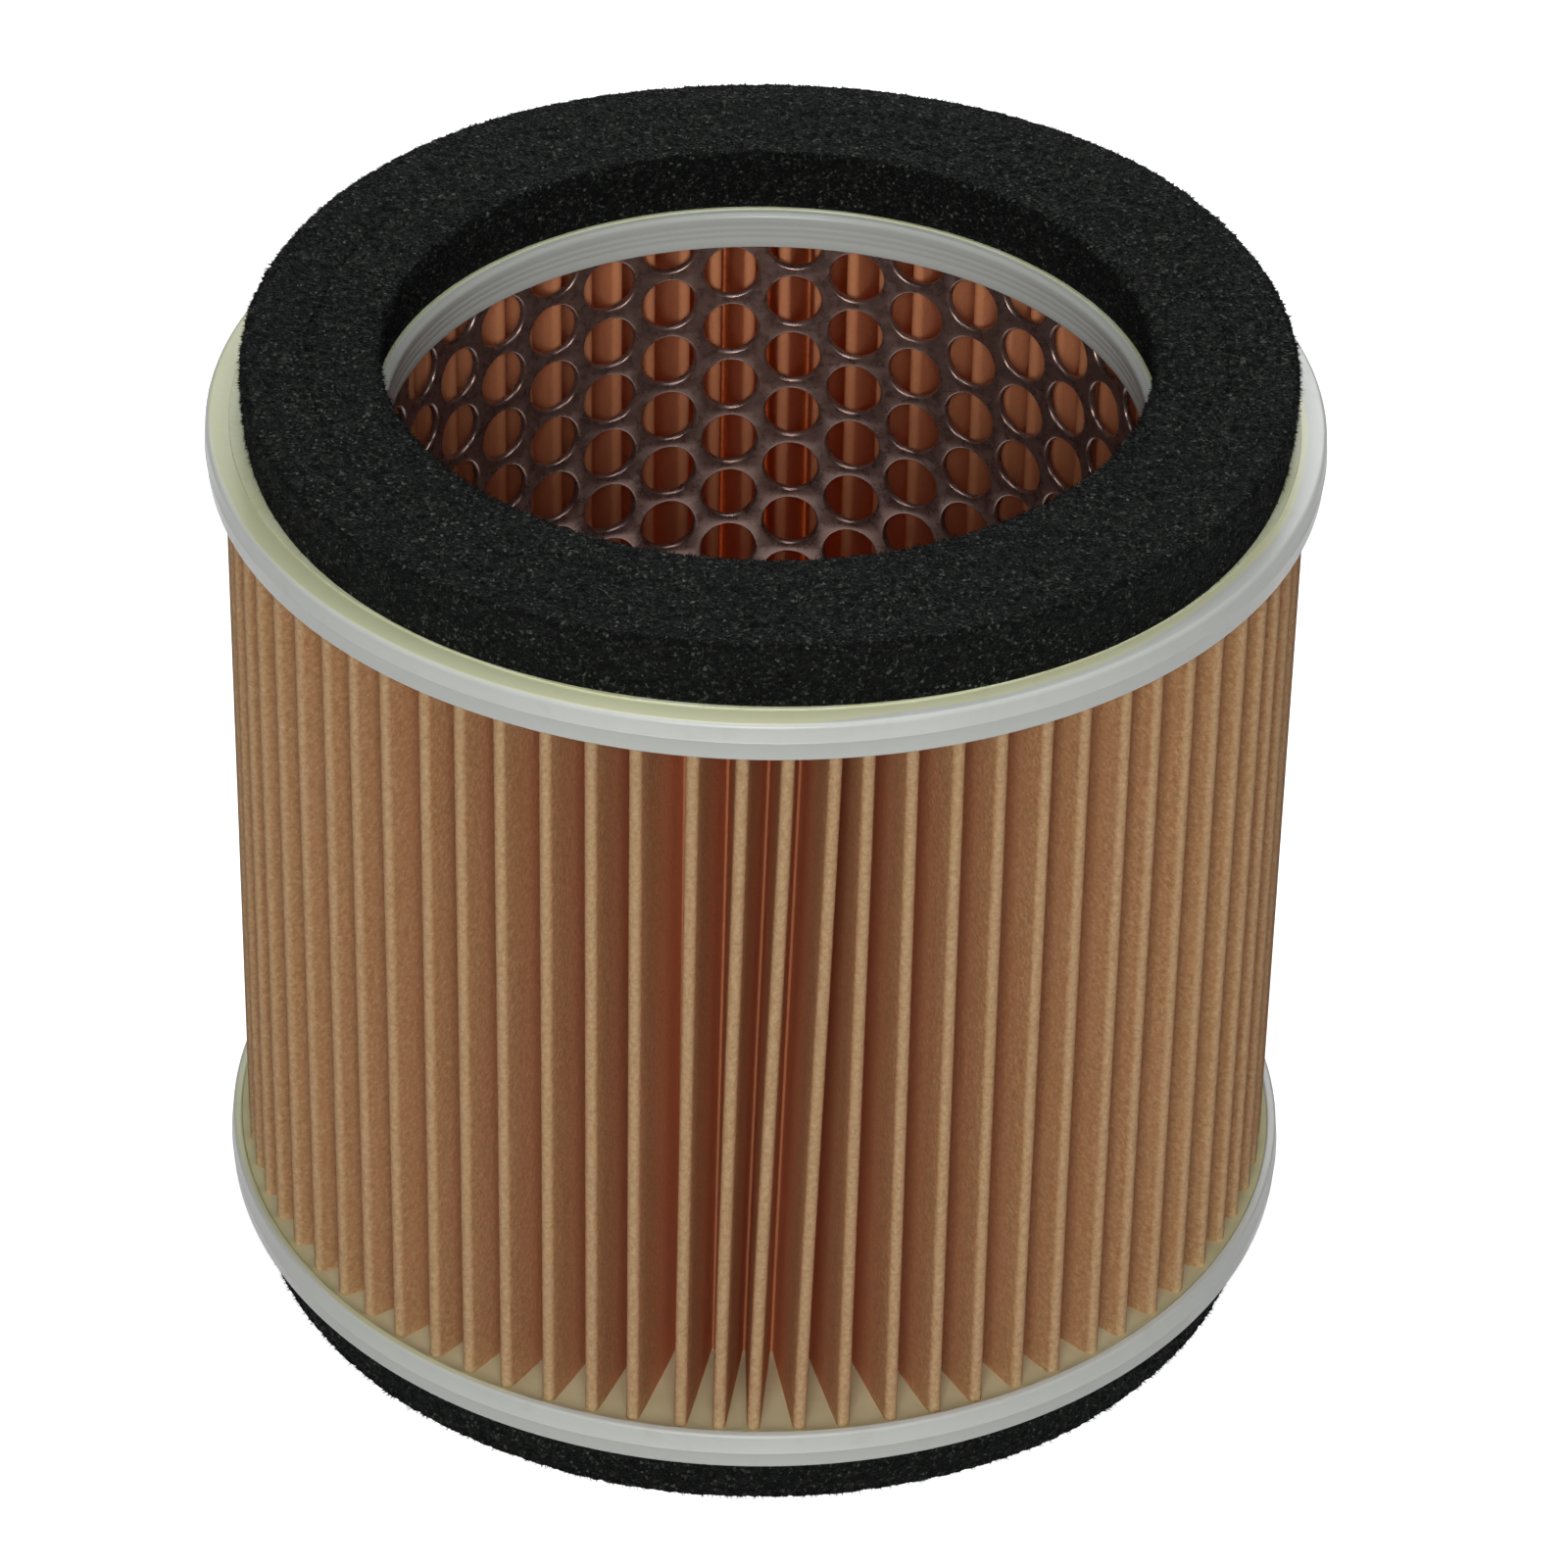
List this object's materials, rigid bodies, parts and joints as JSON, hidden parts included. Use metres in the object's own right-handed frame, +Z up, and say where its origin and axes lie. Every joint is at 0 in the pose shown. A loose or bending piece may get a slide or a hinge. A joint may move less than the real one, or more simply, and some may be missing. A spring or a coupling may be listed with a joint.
{
  "type": "round pleated air filter",
  "caption": "Round pleated paper air filter element with moulded ring end caps, perforated steel core and foam gasket rings, open at both ends.",
  "frame": {"origin": "on the axis, at the centre of the bottom gasket's underside", "axes": "+Z up along the axis, from the bottom gasket to the top gasket; -Y faces the core's lapped seam"},
  "size_m": [0.112, 0.112, 0.1046],
  "materials": {
    "cap_plastic": "off-white moulded plastic, satin",
    "filter_paper": "tan resin-treated filter paper, matte",
    "seam_glue": "amber glue line",
    "core_steel": "dark grey plated steel sheet, satin",
    "weld_steel": "dull spot welds",
    "potting_compound": "cream potting compound, satin",
    "gasket_foam": "black open-cell foam, matte",
    "foam_glue": "yellowish contact adhesive film"
  },
  "bodies": {
    "root": {"top_end_cap": "cap_plastic", "bottom_end_cap": "cap_plastic", "pleated_element": "filter_paper", "pleat_seam_adhesive": "seam_glue", "perforated_core": "core_steel", "core_seam_welds": "weld_steel", "top_potting": "potting_compound", "bottom_potting": "potting_compound", "top_foam_gasket": "gasket_foam", "bottom_foam_gasket": "gasket_foam", "top_foam_adhesive": "foam_glue", "bottom_foam_adhesive": "foam_glue"}
  },
  "joints": []
}
